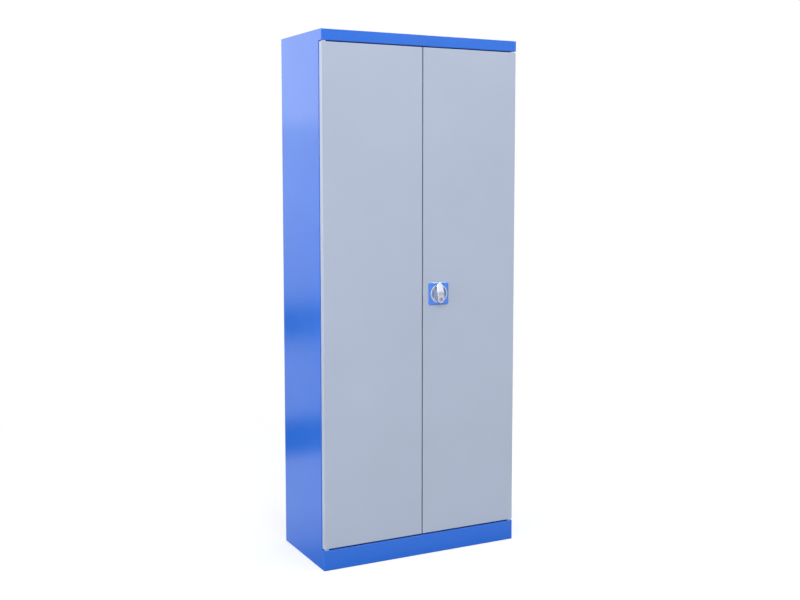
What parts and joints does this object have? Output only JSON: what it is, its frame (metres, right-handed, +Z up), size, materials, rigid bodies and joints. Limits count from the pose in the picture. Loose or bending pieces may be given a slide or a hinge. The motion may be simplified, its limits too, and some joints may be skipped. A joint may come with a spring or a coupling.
{
  "type": "tool cabinet with doors",
  "caption": "Tall blue steel cabinet with pale grey hinged doors, inside shelves and a turning handle that locks the doors with rods and a side bolt.",
  "frame": {"origin": "middle of the carcass base's rim, on the floor", "axes": "+Z up, +X to the right seen from the front, +Y to the back, so the doors face -Y"},
  "size_m": [0.8, 0.4246, 1.95],
  "materials": {
    "carcass_paint": "gloss blue powder coat",
    "door_paint": "semi-gloss light blue-grey powder coat",
    "shelf_paint": "semi-gloss light blue-grey powder coat",
    "zinc_plate": "bright zinc plated steel",
    "pale_nylon": "matte pale nylon",
    "rubber": "matte black rubber",
    "blue_plastic": "gloss blue plastic",
    "satin_chrome": "satin silver die casting",
    "bright_chrome": "polished nickel"
  },
  "bodies": {
    "cabinet": {"back_panel": "carcass_paint", "base_tray": "carcass_paint", "door_buffers": "rubber", "hinge_pins": "zinc_plate", "hinge_plates": "zinc_plate", "plinth": "carcass_paint", "roof_fascia": "carcass_paint", "roof_panel": "carcass_paint", "shelf_1": "shelf_paint", "shelf_2": "shelf_paint", "shelf_3": "shelf_paint", "shelf_4": "shelf_paint", "shelf_clips_1": "zinc_plate", "shelf_clips_2": "zinc_plate", "shelf_clips_3": "zinc_plate", "shelf_clips_4": "zinc_plate", "shelf_rail_front_left": "carcass_paint", "shelf_rail_front_right": "carcass_paint", "shelf_rail_rear_left": "carcass_paint", "shelf_rail_rear_right": "carcass_paint", "side_left": "carcass_paint", "side_right": "carcass_paint", "strike_bottom": "zinc_plate", "strike_top": "zinc_plate"},
    "door_left": {"bolt_keeper": "zinc_plate", "door_left_bushes": "pale_nylon", "door_left_panel": "door_paint", "door_left_stiffener": "door_paint"},
    "door_right": {"bolt_guide": "pale_nylon", "door_right_bushes": "pale_nylon", "door_right_panel": "door_paint", "door_right_stiffener": "door_paint", "handle_bowl": "satin_chrome", "handle_plate": "blue_plastic", "handle_ring_nut": "zinc_plate", "rod_guides_bottom": "pale_nylon", "rod_guides_top": "pale_nylon"},
    "handle": {"cam_pins": "zinc_plate", "cam_plate": "zinc_plate", "cam_screw": "zinc_plate", "drive_spindle": "zinc_plate", "handle_grip": "satin_chrome", "lock_barrel": "bright_chrome"},
    "key_plug": {"lock_plug": "bright_chrome"},
    "rod_top": {"lock_rod_top": "zinc_plate"},
    "rod_bottom": {"lock_rod_bottom": "zinc_plate"},
    "bolt": {"side_bolt": "zinc_plate"}
  },
  "joints": [
    {"name": "door_left_swing", "type": "hinge", "parent": "cabinet", "child": "door_left", "pos_m": [-0.388, -0.19, 0.9935], "axis": [0, 0, -1], "range_deg": [0, 180]},
    {"name": "door_right_swing", "type": "hinge", "parent": "cabinet", "child": "door_right", "pos_m": [0.388, -0.19, 0.9935], "axis": [0, 0, 1], "range_deg": [0, 180]},
    {"name": "handle_turn", "type": "hinge", "parent": "door_right", "child": "handle", "pos_m": [0.066, -0.2, 0.997], "axis": [0, 1, 0], "range_deg": [0, 90]},
    {"name": "key_turn", "type": "hinge", "parent": "handle", "child": "key_plug", "pos_m": [0.066, -0.22, 0.976], "axis": [0, 1, 0], "range_deg": [0, 90]},
    {"name": "rod_top_slide", "type": "slide", "parent": "door_right", "child": "rod_top", "axis": [0, 0, 1], "range_m": [0, 0.02263]},
    {"name": "rod_bottom_slide", "type": "slide", "parent": "door_right", "child": "rod_bottom", "axis": [0, 0, -1], "range_m": [0, 0.02263]},
    {"name": "bolt_slide", "type": "slide", "parent": "door_right", "child": "bolt", "axis": [-1, 0, 0], "range_m": [0, 0.02263]}
  ],
  "couplings": [
    {"joint": "rod_top_slide", "follows": "handle_turn", "m_per_rad": 0.014405},
    {"joint": "rod_bottom_slide", "follows": "handle_turn", "m_per_rad": 0.014405},
    {"joint": "bolt_slide", "follows": "handle_turn", "m_per_rad": 0.014405}
  ]
}
